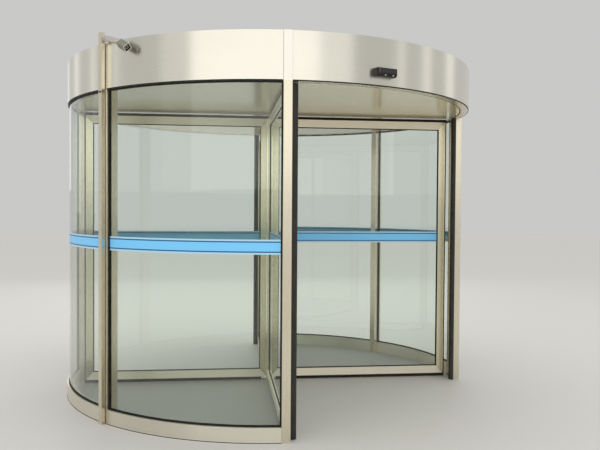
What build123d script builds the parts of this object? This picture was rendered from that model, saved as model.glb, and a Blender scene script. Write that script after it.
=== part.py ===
import os
from math import cos, radians, sin, sqrt

from build123d import *

# Revolving door: four glazed wings turn on a centre post inside a drum of curved glass.
# X runs along the facade, -Y looks to the street, Z is up, and the origin is the drum's
# centre at floor level. Lengths are in millimetres and angles in degrees from +X.

# Drum
drum_radius = 1750.0
clear_height = 2400.0
canopy_height = 332.0
opening_half_angle = 43.5
seat_gap = 0.3

# Corner posts, with a rubber safety edge on the side of the opening
post_depth = 100.0
post_width = 60.0
post_chamfer = 2.0
rubber_depth = 40.0
rubber_reach = 46.0
rubber_end_gap = 5.0

# Mullions where the drum meets the facade
neck_width = 16.0
neck_reach = 8.0
bar_depth = 26.0
bar_width = 38.0
bar_rise = 68.0

# Curved glass, its gaskets and the kick plates
glass_thickness = 12.0
glass_setback = 22.0
glass_bite = 14.0
glass_heel = 3.0
gasket_wall = 6.0
gasket_show = 10.0
kick_height = 105.0
kick_depth = 62.0
kick_setback = 1.0

# Canopy
fascia_setback = 8.0
fascia_thickness = 3.0
fascia_seam = 1.5
trim_height = 8.0
trim_thickness = 2.0
ring_width = 62.0
rim_gap = 2.0
slot_width = 10.0
ceiling_thickness = 12.0
backing_thickness = 6.0
frame_sides = 16
upper_ring_width = 50.0
upper_ring_height = 40.0
roof_thickness = 4.0

# Header rail over the roof, between the mullion bars
header_height = 30.0
header_depth = 40.0
header_drop = 18.0

# Rotor: centre post, bearings and four wings
wing_count = 4
wing_rest_angle = 226.8
wing_thickness = 45.0
wing_glass_thickness = 10.0
wing_tip_gap = 6.0
wing_top_gap = 8.0
wing_floor_gap = 6.0
stile_width = 62.0
rail_height = 68.0
rebate_depth = 16.0
mitre_gap = 0.3
brush_thickness = 12.0
brush_seat = 8.0
outer_brush_show = 18.0
top_brush_show = 24.0
bottom_brush_show = 27.0
centre_post_side = 46.0
journal_radius = 21.0
pivot_radius = 15.0
bearing_bore_gap = 0.3
floor_bearing_side = 90.0
floor_bearing_height = 20.0
floor_bearing_floor = 4.0
top_bearing_radius = 40.0
top_flange_side = 140.0
top_flange_thickness = 20.0

# Presence sensors on the fascia
sensor_angle = 249.0
sensor_width = 165.0
sensor_height = 55.0
sensor_depth = 45.0
sensor_lift = 62.0
sensor_corner = 9.0
sensor_bevel = 18.0

# Small camera on an arm beside the left mullion
arm_foot_width = 24.0
arm_foot_height = 40.0
arm_foot_thickness = 4.0
arm_radius = 6.0
arm_drop = 58.0
arm_reach = 193.0
arm_fall = 46.0
knuckle_radius = 11.0
knuckle_width = 24.0
camera_length = 80.0
camera_side = 50.0
camera_chamfer = 4.0
camera_pan = -92.0
camera_tilt = 26.0
camera_roll = 45.0
visor_thickness = 3.0
visor_reach = 14.0

# Sizes that follow from those above
canopy_top = clear_height + canopy_height
bar_top = canopy_top + bar_rise
inner_radius = drum_radius - post_depth
glass_outer = drum_radius - glass_setback
glass_inner = glass_outer - glass_thickness
gasket_outer = glass_outer + gasket_wall
gasket_inner = glass_inner - gasket_wall
kick_outer = drum_radius - kick_setback
kick_inner = drum_radius - kick_depth
fascia_outer = drum_radius - fascia_setback
fascia_inner = fascia_outer - fascia_thickness
trim_inner = fascia_inner + (fascia_thickness - trim_thickness) / 2
ring_outer = fascia_inner - seat_gap
ring_inner = ring_outer - ring_width
rim_outer = fascia_inner - rim_gap
ceiling_radius = ring_inner - slot_width
ceiling_top = clear_height + ceiling_thickness
backing_top = ceiling_top + backing_thickness
flange_bottom = backing_top + seat_gap
flange_top = flange_bottom + top_flange_thickness
bar_inner = drum_radius + neck_reach
post_mid = drum_radius - post_depth / 2
brush_tip = inner_radius - wing_tip_gap
wing_outer = brush_tip - outer_brush_show
wing_inner = centre_post_side / 2 + seat_gap
wing_bottom = wing_floor_gap + bottom_brush_show
wing_top = clear_height - wing_top_gap - top_brush_show
opening_inner = wing_inner + stile_width
opening_outer = wing_outer - stile_width
opening_bottom = wing_bottom + rail_height
opening_top = wing_top - rail_height
opening_middle = (opening_inner + opening_outer) / 2
opening_level = (opening_bottom + opening_top) / 2
rebate_width = wing_glass_thickness + 2 * seat_gap
brush_slot = brush_thickness + 2 * seat_gap
bottom_brush_start = floor_bearing_side / sqrt(2) + wing_tip_gap
outer_root = wing_outer - brush_seat + seat_gap
top_root = wing_top - brush_seat + seat_gap
bottom_root = wing_bottom + brush_seat - seat_gap
brush_top = wing_top + top_brush_show
brush_end = outer_root - seat_gap

post_angles = {
    "front_left": 270 - opening_half_angle,
    "front_right": 270 + opening_half_angle,
    "rear_left": 90 + opening_half_angle,
    "rear_right": 90 - opening_half_angle,
}
mullion_angles = {"left": 180.0, "right": 0.0}
wall_spans = {
    "front_left": (180.0, 270 - opening_half_angle),
    "rear_left": (90 + opening_half_angle, 180.0),
    "rear_right": (0.0, 90 - opening_half_angle),
    "front_right": (270 + opening_half_angle, 360.0),
}
opening_spans = {
    "front": (270 - opening_half_angle, 270 + opening_half_angle),
    "rear": (90 - opening_half_angle, 90 + opening_half_angle),
}

os.makedirs("parts", exist_ok=True)


def save(piece, node):
    """Label a finished sub-part and write it under its node's name."""
    piece.part.label = node
    export_step(piece.part, f"parts/{node}.step")


def ring_band(outer, inner, span, end_offset=0.0):
    """The plan of a curved piece between two angles, ended square at both supports.

    end_offset is the distance of each end from its support's centre line.
    """
    start, end = span
    with BuildSketch() as band:
        with BuildLine():
            rim = CenterArc((0, 0), outer, start, end - start)
            bore = CenterArc((0, 0), inner, start, end - start)
            Line(rim @ 0, bore @ 0)
            Line(rim @ 1, bore @ 1)
        make_face()
        if end_offset > 0:
            for angle in span:
                with PolarLocations((outer + inner) / 2, 1, start_angle=angle):
                    Rectangle(3 * (outer - inner), 2 * end_offset, mode=Mode.SUBTRACT)
    return band.sketch


# Corner posts: folded stainless boxes, each with a groove for the edge of its curved pane
glass_groove_offset = post_width / 2 - glass_bite
for corner, angle in post_angles.items():
    groove = ring_band(gasket_outer + seat_gap, gasket_inner - seat_gap,
                       wall_spans[corner], glass_groove_offset)
    with BuildPart() as post:
        with BuildSketch():
            with PolarLocations(post_mid, 1, start_angle=angle):
                box = Rectangle(post_depth, post_width)
            chamfer(box.vertices(), post_chamfer)
            add(groove, mode=Mode.SUBTRACT)
        extrude(amount=clear_height - seat_gap)
    save(post, f"post_{corner}")

# Rubber safety edges: a soft nose on each post, on the side that faces the opening
for side, (start, end) in opening_spans.items():
    with BuildPart() as edges:
        for angle, turn in ((start, 1), (end, -1)):
            with BuildSketch(Plane.XY.offset(rubber_end_gap)):
                nose_centre = post_width / 2 + rubber_reach - rubber_depth / 2
                stem_length = rubber_reach - rubber_depth / 2 - seat_gap
                stem_middle = nose_centre - stem_length / 2
                with PolarLocations(0, 1, start_angle=angle):
                    with Locations((inner_radius + rubber_depth / 2, turn * nose_centre)):
                        Circle(rubber_depth / 2)
                    with Locations((inner_radius + rubber_depth / 2, turn * stem_middle)):
                        Rectangle(rubber_depth, stem_length)
            extrude(amount=clear_height - 2 * rubber_end_gap)
    save(edges, f"safety_edges_{side}")

# Mullions: a jamb in the drum's wall, and a taller bar outside it that takes the facade
for side, angle in mullion_angles.items():
    grooves = [
        ring_band(gasket_outer + seat_gap, gasket_inner - seat_gap, span, glass_groove_offset)
        for wall, span in wall_spans.items() if wall.endswith(side)
    ]
    with BuildPart() as mullion:
        with BuildSketch():
            with PolarLocations(post_mid, 1, start_angle=angle):
                box = Rectangle(post_depth, post_width)
            chamfer(box.vertices(), post_chamfer)
            with PolarLocations(drum_radius + (neck_reach - seat_gap) / 2, 1, start_angle=angle):
                Rectangle(neck_reach - seat_gap, neck_width)
            for groove in grooves:
                add(groove, mode=Mode.SUBTRACT)
        extrude(amount=clear_height - seat_gap)
        with BuildSketch():
            with PolarLocations(bar_inner + bar_depth / 2, 1, start_angle=angle):
                Rectangle(bar_depth, bar_width)
        extrude(amount=bar_top)
    save(mullion, f"mullion_{side}")

# Kick plates: curved stainless plinths under the glass, with a glazing groove on top
wall_end = post_width / 2 + seat_gap
groove_floor = kick_height - glass_bite
for side in mullion_angles:
    with BuildPart() as kick_plates:
        for wall, span in wall_spans.items():
            if not wall.endswith(side):
                continue
            with BuildSketch():
                add(ring_band(kick_outer, kick_inner, span, wall_end))
            extrude(amount=kick_height)
            with BuildSketch(Plane.XY.offset(groove_floor - seat_gap)):
                add(ring_band(gasket_outer + seat_gap, gasket_inner - seat_gap, span))
            extrude(amount=glass_bite + 2 * seat_gap, mode=Mode.SUBTRACT)
    save(kick_plates, f"kick_plates_{side}")

# Curved panes: laminated glass held in the gaskets on all four edges
pane_bottom = groove_floor + glass_heel + seat_gap
pane_top = clear_height - glass_heel - 2 * seat_gap
pane_end = glass_groove_offset + glass_heel + seat_gap
for wall, span in wall_spans.items():
    with BuildPart() as pane:
        with BuildSketch(Plane.XY.offset(pane_bottom)):
            add(ring_band(glass_outer, glass_inner, span, pane_end))
        extrude(amount=pane_top - pane_bottom)
    save(pane, f"pane_{wall}")

# Gaskets: black rubber channels round the edges of each curved pane
slot_outer = glass_outer + seat_gap
slot_inner = glass_inner - seat_gap
for side in mullion_angles:
    with BuildPart() as gaskets:
        for wall, span in wall_spans.items():
            if not wall.endswith(side):
                continue
            sill_height = glass_bite + gasket_show
            head_height = gasket_show - seat_gap
            head_bottom = clear_height - gasket_show
            with BuildSketch(Plane.XY.offset(groove_floor)):
                add(ring_band(gasket_outer, gasket_inner, span, wall_end))
            extrude(amount=sill_height)
            with BuildSketch(Plane.XY.offset(groove_floor + glass_heel)):
                add(ring_band(slot_outer, slot_inner, span))
            extrude(amount=sill_height, mode=Mode.SUBTRACT)
            with BuildSketch(Plane.XY.offset(head_bottom)):
                add(ring_band(gasket_outer, gasket_inner, span, wall_end))
            extrude(amount=head_height)
            with BuildSketch(Plane.XY.offset(head_bottom - glass_heel)):
                add(ring_band(slot_outer, slot_inner, span))
            extrude(amount=head_height, mode=Mode.SUBTRACT)
            side_bottom = kick_height + gasket_show + seat_gap
            with BuildSketch(Plane.XY.offset(side_bottom)):
                add(ring_band(gasket_outer, gasket_inner, span, glass_groove_offset + seat_gap))
                add(ring_band(gasket_outer, gasket_inner, span, post_width / 2 + gasket_show),
                    mode=Mode.SUBTRACT)
                add(ring_band(slot_outer, slot_inner, span, glass_groove_offset + glass_heel),
                    mode=Mode.SUBTRACT)
            extrude(amount=head_bottom - seat_gap - side_bottom)
    save(gaskets, f"gaskets_{side}")

# Canopy ring: the flat rim that shows from below, in one length for each wall and opening
ring_spans = {
    "front": opening_spans["front"],
    "rear": opening_spans["rear"],
    "left": (wall_spans["rear_left"][0], wall_spans["front_left"][1]),
    "right": (-post_angles["rear_right"], post_angles["rear_right"]),
}
with BuildPart() as canopy_ring:
    for span in ring_spans.values():
        with BuildSketch(Plane.XY.offset(clear_height)):
            add(ring_band(rim_outer, ring_inner, span, seat_gap))
        extrude(amount=ceiling_thickness - seat_gap)
save(canopy_ring, "canopy_ring")

# Upper ring: a frame of straight lengths at the top of the fascia, under the roof
with BuildPart() as upper_ring:
    with BuildSketch(Plane.XY.offset(canopy_top - roof_thickness - seat_gap - upper_ring_height)):
        RegularPolygon(ring_outer, frame_sides)
        RegularPolygon(ring_outer - upper_ring_width, frame_sides, mode=Mode.SUBTRACT)
        for angle in post_angles.values():
            with PolarLocations(ring_outer - upper_ring_width / 2, 1, start_angle=angle):
                Rectangle(3 * upper_ring_width, 2 * seat_gap, mode=Mode.SUBTRACT)
    extrude(amount=upper_ring_height)
save(upper_ring, "upper_ring")

# Ceiling: a flat disc, glued to a backing plate that rests on the rim all round it
with BuildPart() as ceiling:
    with BuildSketch(Plane.XY.offset(clear_height)):
        Circle(ceiling_radius)
    extrude(amount=ceiling_thickness)
    with BuildSketch(Plane.XY.offset(ceiling_top)):
        RegularPolygon(ring_outer - seat_gap, frame_sides)
    extrude(amount=backing_thickness)
    with BuildSketch(Plane.XY.offset(clear_height)):
        Circle(top_bearing_radius + seat_gap)
    extrude(amount=backing_top - clear_height, mode=Mode.SUBTRACT)
save(ceiling, "ceiling")

# Roof: a flat cover over the drive space
with BuildPart() as roof:
    with BuildSketch(Plane.XY.offset(canopy_top - roof_thickness)):
        Circle(ring_outer)
    extrude(amount=roof_thickness)
save(roof, "roof_cover")

# Fascia: curved stainless panels between flat cover strips, which carry on the posts' lines
fascia_spans = {
    "front": [opening_spans["front"]],
    "rear": [opening_spans["rear"]],
    "left": [wall_spans["front_left"], wall_spans["rear_left"]],
    "right": [wall_spans["front_right"], wall_spans["rear_right"]],
}
panel_end = post_width / 2 + fascia_seam
for side, spans in fascia_spans.items():
    with BuildPart() as fascia:
        for span in spans:
            with BuildSketch(Plane.XY.offset(clear_height + trim_height + seat_gap)):
                add(ring_band(fascia_outer, fascia_inner, span, panel_end))
            extrude(amount=canopy_height - trim_height - seat_gap)
    save(fascia, f"fascia_{side}")

strip_depth = drum_radius - fascia_inner
with BuildPart() as strips:
    for angle in [*post_angles.values(), *mullion_angles.values()]:
        with BuildSketch(Plane.XY.offset(clear_height)):
            with PolarLocations(fascia_inner + strip_depth / 2, 1, start_angle=angle):
                Rectangle(strip_depth, post_width)
        extrude(amount=canopy_height)
save(strips, "fascia_strips")

# Shadow trim: a thin black band under the edge of the fascia
with BuildPart() as trim:
    for spans in fascia_spans.values():
        for span in spans:
            with BuildSketch(Plane.XY.offset(clear_height)):
                add(ring_band(trim_inner + trim_thickness, trim_inner, span, panel_end))
            extrude(amount=trim_height)
save(trim, "shadow_trim")

# Header rail: a flat bar over the roof, from one mullion bar to the other
with BuildPart() as header:
    with BuildSketch(Plane.XY.offset(bar_top - header_drop - header_height)):
        Rectangle(2 * (bar_inner - seat_gap), header_depth)
    extrude(amount=header_height)
save(header, "header_rail")

# Floor bearing: a square block with a blind hole for the pivot
with BuildPart() as floor_bearing:
    with BuildSketch():
        Rectangle(floor_bearing_side, floor_bearing_side)
    extrude(amount=floor_bearing_height)
    with BuildSketch(Plane.XY.offset(floor_bearing_floor)):
        Circle(pivot_radius + bearing_bore_gap)
    extrude(amount=floor_bearing_height, mode=Mode.SUBTRACT)
save(floor_bearing, "floor_bearing")

# Top bearing: a bush through the ceiling, hung from a square flange that lies on it
with BuildPart() as top_bearing:
    with BuildSketch(Plane.XY.offset(clear_height)):
        Circle(top_bearing_radius)
    extrude(amount=flange_bottom - clear_height)
    with BuildSketch(Plane.XY.offset(flange_bottom)):
        Rectangle(top_flange_side, top_flange_side)
    extrude(amount=top_flange_thickness)
    with BuildSketch(Plane.XY.offset(clear_height)):
        Circle(journal_radius + bearing_bore_gap)
    extrude(amount=flange_top - clear_height, mode=Mode.SUBTRACT)
save(top_bearing, "top_bearing")


def leaf_plane(angle):
    """An upright plane through the drum's axis: x runs out from the centre and y runs up."""
    out = (cos(radians(angle)), sin(radians(angle)), 0)
    across = (sin(radians(angle)), -cos(radians(angle)), 0)
    return Plane(origin=(0, 0, 0), x_dir=out, z_dir=across)


# Presence sensors: one on the fascia over each opening, on the side that people enter by
sensor_bottom = clear_height + sensor_lift
sensor_front = fascia_outer + sensor_depth + sensor_corner
for side, angle in (("front", sensor_angle), ("rear", sensor_angle - 180)):
    with BuildPart() as sensor:
        with BuildSketch(leaf_plane(angle)):
            with BuildLine():
                Polyline((fascia_inner, sensor_bottom), (sensor_front - sensor_bevel, sensor_bottom),
                         (sensor_front, sensor_bottom + sensor_bevel),
                         (sensor_front, sensor_bottom + sensor_height),
                         (fascia_inner, sensor_bottom + sensor_height), close=True)
            make_face()
        extrude(amount=sensor_width / 2, both=True)
        outward = Vector(cos(radians(angle)), sin(radians(angle)), 0)
        front_edges = sensor.edges().filter_by(Axis.Z).sort_by(
            Axis((0, 0, 0), outward))[-2:]
        fillet(front_edges, sensor_corner)
        with BuildSketch(Plane.XY.offset(sensor_bottom)):
            Circle(fascia_outer + seat_gap)
        extrude(amount=sensor_height, mode=Mode.SUBTRACT)
    save(sensor, f"sensor_{side}")

# Camera arm: a foot on the mullion bar, and a sloping tube with a knuckle at its end
arm_foot = Vector(-(bar_inner + bar_depth / 2), -bar_width / 2 - seat_gap, bar_top - arm_drop)
arm_root = arm_foot - Vector(0, arm_foot_thickness / 2, 0)
arm_run = Vector(0, -arm_reach, -arm_fall)
knuckle = arm_root + arm_run
pan = radians(camera_pan)
tilt = radians(camera_tilt)
aim = Plane(origin=knuckle, x_dir=(-sin(pan), cos(pan), 0),
            z_dir=(cos(tilt) * cos(pan), cos(tilt) * sin(pan), -sin(tilt)))
with BuildPart() as camera_arm:
    with BuildSketch(Plane(origin=arm_foot, x_dir=(1, 0, 0), z_dir=(0, -1, 0))):
        Rectangle(arm_foot_width, arm_foot_height)
    extrude(amount=arm_foot_thickness)
    with BuildSketch(Plane(origin=arm_root, z_dir=arm_run)):
        Circle(arm_radius)
    extrude(amount=arm_run.length)
    with BuildSketch(Plane(origin=knuckle, z_dir=aim.x_dir)):
        Circle(knuckle_radius)
    extrude(amount=knuckle_width / 2, both=True)
save(camera_arm, "camera_arm")

# Camera housing: a small box set on its corner, with a hood round its front
camera_back = knuckle_radius + seat_gap
with BuildPart() as camera_housing:
    with BuildSketch(aim.offset(camera_back)):
        box = Rectangle(camera_side, camera_side, rotation=camera_roll)
        chamfer(box.vertices(), camera_chamfer)
    extrude(amount=camera_length + visor_reach)
    with BuildSketch(aim.offset(camera_back + camera_length)):
        Rectangle(camera_side - 2 * visor_thickness, camera_side - 2 * visor_thickness,
                  rotation=camera_roll)
    extrude(amount=visor_reach, mode=Mode.SUBTRACT)
save(camera_housing, "camera_housing")

# Centre post: a square tube that carries the wings, round where the bearings hold it
with BuildPart() as centre_post:
    with BuildSketch(Plane.XY.offset(wing_bottom)):
        Rectangle(centre_post_side, centre_post_side, rotation=wing_rest_angle)
    extrude(amount=wing_top - wing_bottom)
    with BuildSketch(Plane.XY.offset(wing_top)):
        Circle(journal_radius)
    extrude(amount=flange_top - wing_top)
    with BuildSketch(Plane.XY.offset(floor_bearing_floor + seat_gap)):
        Circle(pivot_radius)
    extrude(amount=wing_bottom - floor_bearing_floor - seat_gap)
save(centre_post, "centre_post")

# Outlines of a wing's pieces, drawn once on its upright middle plane
with BuildSketch() as stile_outline:
    for edge, lip in ((wing_inner, opening_inner), (wing_outer, opening_outer)):
        with BuildLine():
            Polyline((edge, wing_bottom + mitre_gap), (lip, opening_bottom + mitre_gap),
                     (lip, opening_top - mitre_gap), (edge, wing_top - mitre_gap), close=True)
        make_face()
with BuildSketch() as rail_outline:
    for edge, lip in ((wing_bottom, opening_bottom), (wing_top, opening_top)):
        with BuildLine():
            Polyline((wing_inner + mitre_gap, edge), (opening_inner + mitre_gap, lip),
                     (opening_outer - mitre_gap, lip), (wing_outer - mitre_gap, edge), close=True)
        make_face()
with BuildSketch() as rebate_outline:
    with Locations((opening_middle, opening_level)):
        Rectangle(opening_outer - opening_inner + 2 * rebate_depth,
                  opening_top - opening_bottom + 2 * rebate_depth)
with BuildSketch() as brush_slot_outline:
    with Locations((wing_outer, opening_level)):
        Rectangle(2 * brush_seat, wing_top - wing_bottom)
    for edge in (wing_bottom, wing_top):
        with Locations(((wing_inner + wing_outer) / 2, edge)):
            Rectangle(wing_outer - wing_inner, 2 * brush_seat)
with BuildSketch() as glass_outline:
    with Locations((opening_middle, opening_level)):
        Rectangle(opening_outer - opening_inner + 2 * (rebate_depth - seat_gap),
                  opening_top - opening_bottom + 2 * (rebate_depth - seat_gap))
with BuildSketch() as brush_outline:
    with Locations(((outer_root + brush_tip) / 2, (wing_floor_gap + brush_top) / 2)):
        Rectangle(brush_tip - outer_root, brush_top - wing_floor_gap)
    with Locations(((wing_inner + brush_end) / 2, (top_root + brush_top) / 2)):
        Rectangle(brush_end - wing_inner, brush_top - top_root)
    with Locations(((bottom_brush_start + brush_end) / 2, (bottom_root + wing_floor_gap) / 2)):
        Rectangle(brush_end - bottom_brush_start, bottom_root - wing_floor_gap)

# Wings: mitred stainless frames with glass in their rebates and brushes round the outside
for number in range(wing_count):
    leaf = leaf_plane(wing_rest_angle + number * 360 / wing_count)
    for name, outline in (("stiles", stile_outline), ("rails", rail_outline)):
        with BuildPart() as members:
            with BuildSketch(leaf):
                add(outline.sketch)
            extrude(amount=wing_thickness / 2, both=True)
            with BuildSketch(leaf):
                add(rebate_outline.sketch)
            extrude(amount=rebate_width / 2, both=True, mode=Mode.SUBTRACT)
            with BuildSketch(leaf):
                add(brush_slot_outline.sketch)
            extrude(amount=brush_slot / 2, both=True, mode=Mode.SUBTRACT)
        save(members, f"wing_{number + 1}_{name}")
    for name, outline, thickness in (("glass", glass_outline, wing_glass_thickness),
                                     ("brushes", brush_outline, brush_thickness)):
        with BuildPart() as sheet:
            with BuildSketch(leaf):
                add(outline.sketch)
            extrude(amount=thickness / 2, both=True)
        save(sheet, f"wing_{number + 1}_{name}")
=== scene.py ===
# %% [markdown]
# # Dressing a revolving door
# The door is a drum of curved glass in which four framed wings turn. Its measured solids come
# from the CAD model, in metres, with Z up and the origin at the drum's centre on the floor.
# Most of them already have the right shape, so they only get materials here. The soft and fine
# things, such as bristles, beads, film and lenses, are modelled in this file.

# %% Load the measured model
from math import asin, cos, degrees, pi, radians, sin

import bmesh
import bpy
from mathutils import Euler, Matrix, Vector


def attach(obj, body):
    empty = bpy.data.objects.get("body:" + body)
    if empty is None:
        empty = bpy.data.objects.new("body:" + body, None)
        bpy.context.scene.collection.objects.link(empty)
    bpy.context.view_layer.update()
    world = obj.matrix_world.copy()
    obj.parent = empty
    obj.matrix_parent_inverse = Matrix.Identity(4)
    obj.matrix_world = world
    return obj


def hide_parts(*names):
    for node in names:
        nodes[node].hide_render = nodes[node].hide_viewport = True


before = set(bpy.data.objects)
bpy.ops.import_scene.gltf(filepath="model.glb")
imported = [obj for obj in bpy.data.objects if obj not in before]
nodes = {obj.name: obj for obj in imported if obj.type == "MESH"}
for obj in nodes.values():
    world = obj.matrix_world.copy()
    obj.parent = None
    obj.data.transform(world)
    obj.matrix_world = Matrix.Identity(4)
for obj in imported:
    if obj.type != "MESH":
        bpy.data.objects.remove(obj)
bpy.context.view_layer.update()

# %% [markdown]
# ## Sizes that the dressing needs
# The new pieces sit on the measured ones, so they repeat a few of the sizes: where the glass
# lies, how wide the frames are, and the angles of the wings. Written once and named, they keep
# every bead, film and brush in its seat. AIR is the hair's breadth that keeps a new piece clear
# of the surface it lies on.

# %% Shared sizes, in metres and degrees
DRUM_RADIUS = 1.750
CLEAR_HEIGHT = 2.400
CANOPY_TOP = 2.732
FASCIA_OUTER = 1.742
GLASS_OUTER = 1.728
KICK_OUTER = 1.749
POST_WIDTH = 0.060

WING_ANGLES = [226.8, 316.8, 46.8, 136.8]
WING_THICKNESS = 0.045
WING_GLASS = 0.010
WING_INNER = 0.0233
WING_OUTER = 1.626
WING_BOTTOM = 0.033
WING_TOP = 2.368
STILE_WIDTH = 0.062
RAIL_HEIGHT = 0.068
BRUSH_TIP = 1.644
BRUSH_TOP = 2.3945
BRUSH_FLOOR = 0.002
AIR = 0.0002

OPENING_HALF_ANGLE = 43.5
WALLS = {
    "front_left": (180.0, 270 - OPENING_HALF_ANGLE),
    "rear_left": (90 + OPENING_HALF_ANGLE, 180.0),
    "rear_right": (0.0, 90 - OPENING_HALF_ANGLE),
    "front_right": (270 + OPENING_HALF_ANGLE, 360.0),
}
print("walls", WALLS)

# %% [markdown]
# ## A small tool box for meshes
# A few helpers make almost every new piece. The first turns lists of points and faces into an
# object whose normals face outwards. Most pieces are sections that follow a path, and for these
# one helper puts faces between neighbouring sections. Another sweeps a section around the drum,
# and ends it square against its supports as a sawn or folded piece ends. The last carries a
# point of a wing, given as distance out, distance across and height, to its place in the drum.

# %% Mesh helpers
SWEEP_STEP = 1.0


def new_piece(name, verts, faces, smooth=False, sharp_angle=35.0):
    """An object from points and faces, with doubles merged and normals turned outwards."""
    mesh = bpy.data.meshes.new(name)
    mesh.from_pydata([tuple(v) for v in verts], [], faces)
    work = bmesh.new()
    work.from_mesh(mesh)
    bmesh.ops.remove_doubles(work, verts=work.verts, dist=1e-6)
    bmesh.ops.recalc_face_normals(work, faces=work.faces)
    work.to_mesh(mesh)
    work.free()
    piece = bpy.data.objects.new(name, mesh)
    bpy.context.scene.collection.objects.link(piece)
    if smooth:
        mesh.polygons.foreach_set("use_smooth", [True] * len(mesh.polygons))
        mesh.set_sharp_from_angle(angle=radians(sharp_angle))
    return piece


def circle(count, radius=1.0, shift=0.0):
    """Points (x, y) spread evenly on a circle, shifted by a part of a step."""
    turns = [2 * pi * (i + shift) / count for i in range(count)]
    return [(radius * cos(turn), radius * sin(turn)) for turn in turns]


def rectangle(left, right, low, high):
    return [(left, low), (right, low), (right, high), (left, high)]


def side_faces(rows, count, closed=False):
    """The faces between neighbouring rows of points, where each row is a section's outline."""
    faces = []
    for row in range(rows if closed else rows - 1):
        a, b = row * count, (row + 1) % rows * count
        faces += [(a + j, a + (j + 1) % count, b + (j + 1) % count, b + j)
                  for j in range(count)]
    return faces


def slab(front, back):
    """A closed shell between two outlines of equally many points."""
    count = len(front)
    ends = [tuple(range(count)), tuple(range(count, 2 * count))]
    return [*front, *back], ends + side_faces(2, count)


def curved_bar(section, span, end_gap):
    """A section, a list of (radius, height), swept around the drum between two angles."""
    start, end = span
    steps = max(2, int((end - start) / SWEEP_STEP))
    verts = []
    for i in range(steps + 1):
        for radius, height in section:
            gap = degrees(asin(end_gap / radius))
            angle = radians((start + gap) + (end - start - 2 * gap) * (i / steps))
            verts.append((radius * cos(angle), radius * sin(angle), height))
    count = len(section)
    ends = [tuple(range(count)), tuple(range(steps * count, len(verts)))]
    return verts, side_faces(steps + 1, count) + ends


def join_parts(parts):
    verts, faces = [], []
    for part_verts, part_faces in parts:
        shift = len(verts)
        verts += [tuple(v) for v in part_verts]
        faces += [tuple(shift + i for i in face) for face in part_faces]
    return verts, faces


def on_wing(angle, out, across, height):
    a = radians(angle)
    return Vector((out * cos(a) + across * sin(a), out * sin(a) - across * cos(a), height))


print("a point at the tip of the first wing", on_wing(WING_ANGLES[0], WING_OUTER, 0, 1))

# %% [markdown]
# ## A small tool box for node trees
# Materials, the sky and Geometry Nodes are all built the same way: a node is added, and each of
# its inputs takes either a plain value or the output of another node. One helper does both, with
# the inputs named as in Blender, except that an underscore stands for a space.

# %% Node helpers
def feed(tree, node, *by_place, **by_name):
    """Give a node's inputs plain values, or link them to other nodes' outputs."""
    pairs = list(zip(node.inputs, by_place))
    pairs += [(node.inputs[name.replace("_", " ")], value) for name, value in by_name.items()]
    for socket, value in pairs:
        if isinstance(value, bpy.types.NodeSocket):
            tree.links.new(value, socket)
        else:
            socket.default_value = value
    return node


def add_node(tree, kind, *by_place, choices=None, **by_name):
    """A new node with its choices made and its inputs fed."""
    node = tree.nodes.new(kind)
    for name, value in (choices or {}).items():
        setattr(node, name, value)
    return feed(tree, node, *by_place, **by_name)


def worked_out(tree, operation, *values):
    """One step of arithmetic on values or outputs."""
    choices = {"operation": operation}
    return add_node(tree, "ShaderNodeMath", *values, choices=choices).outputs[0]


def new_material(name):
    material = bpy.data.materials.new(name)
    material.use_nodes = True
    tree = material.node_tree
    return material, tree, tree.nodes["Principled BSDF"]


print("made", [f.__name__ for f in (feed, add_node, worked_out, new_material)])

# %% [markdown]
# ## The studio
# The door is judged by its own shapes and finishes, so it stands on a plain pale floor in soft
# light. A wide sky of one pale tone lights it evenly. The camera's own view of the sky is set
# apart from the light that it gives, so that the background can be pale while nothing on the
# door burns out.

# %% A pale floor
FLOOR_RADIUS, FLOOR_SIDES = 40, 96
FLOOR_COLOUR = (0.62, 0.612, 0.592, 1)

floor_mesh = bpy.data.meshes.new("studio_floor")
floor_mesh.from_pydata([(x, y, 0.0) for x, y in circle(FLOOR_SIDES, FLOOR_RADIUS)], [],
                       [tuple(range(FLOOR_SIDES))])
studio_floor = bpy.data.objects.new("studio_floor", floor_mesh)
bpy.context.scene.collection.objects.link(studio_floor)
floor_material, floor_tree, floor_shader = new_material("pale_floor")
feed(floor_tree, floor_shader, Base_Color=FLOOR_COLOUR, Roughness=0.55)
floor_mesh.materials.append(floor_material)
print("floor radius", FLOOR_RADIUS)

# %% A sky that lights in one tone and is seen in another
SKY_LIGHT = (1.0, 0.985, 0.96, 1)
SKY_SEEN = (0.58, 0.583, 0.576, 1)

world = bpy.data.worlds.new("studio_sky")
bpy.context.scene.world = world
world.use_nodes = True
sky = world.node_tree
sky.nodes.clear()
rays = add_node(sky, "ShaderNodeLightPath").outputs
seen_rays = worked_out(sky, "MAXIMUM", rays["Is Camera Ray"], rays["Is Glossy Ray"])
seen_rays = worked_out(sky, "MAXIMUM", seen_rays, rays["Is Transmission Ray"])
light_sky = add_node(sky, "ShaderNodeBackground", Color=SKY_LIGHT, Strength=1.0)
seen_sky = add_node(sky, "ShaderNodeBackground", Color=SKY_SEEN, Strength=1.0)
sky_mix = add_node(sky, "ShaderNodeMixShader", seen_rays, light_sky.outputs[0],
                   seen_sky.outputs[0])
add_node(sky, "ShaderNodeOutputWorld", Surface=sky_mix.outputs[0])
print("sky as seen", SKY_SEEN[:3])

# %% [markdown]
# ## Panels of soft light
# Steel has hardly any colour of its own and only shows what it mirrors, so large dim panels
# stand round the door. Wide ones above eye level, in front and behind, are what the canopy
# mirrors. Narrow upright ones at the sides give it its bands, a low weak one brightens the
# nearest post, and one overhead lights the roof. They are wide and weak rather than small and
# strong, because a strong lamp burns a white hole in the metal. The front panels also shine
# through the glass, so that the frames behind it mirror them.

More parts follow.
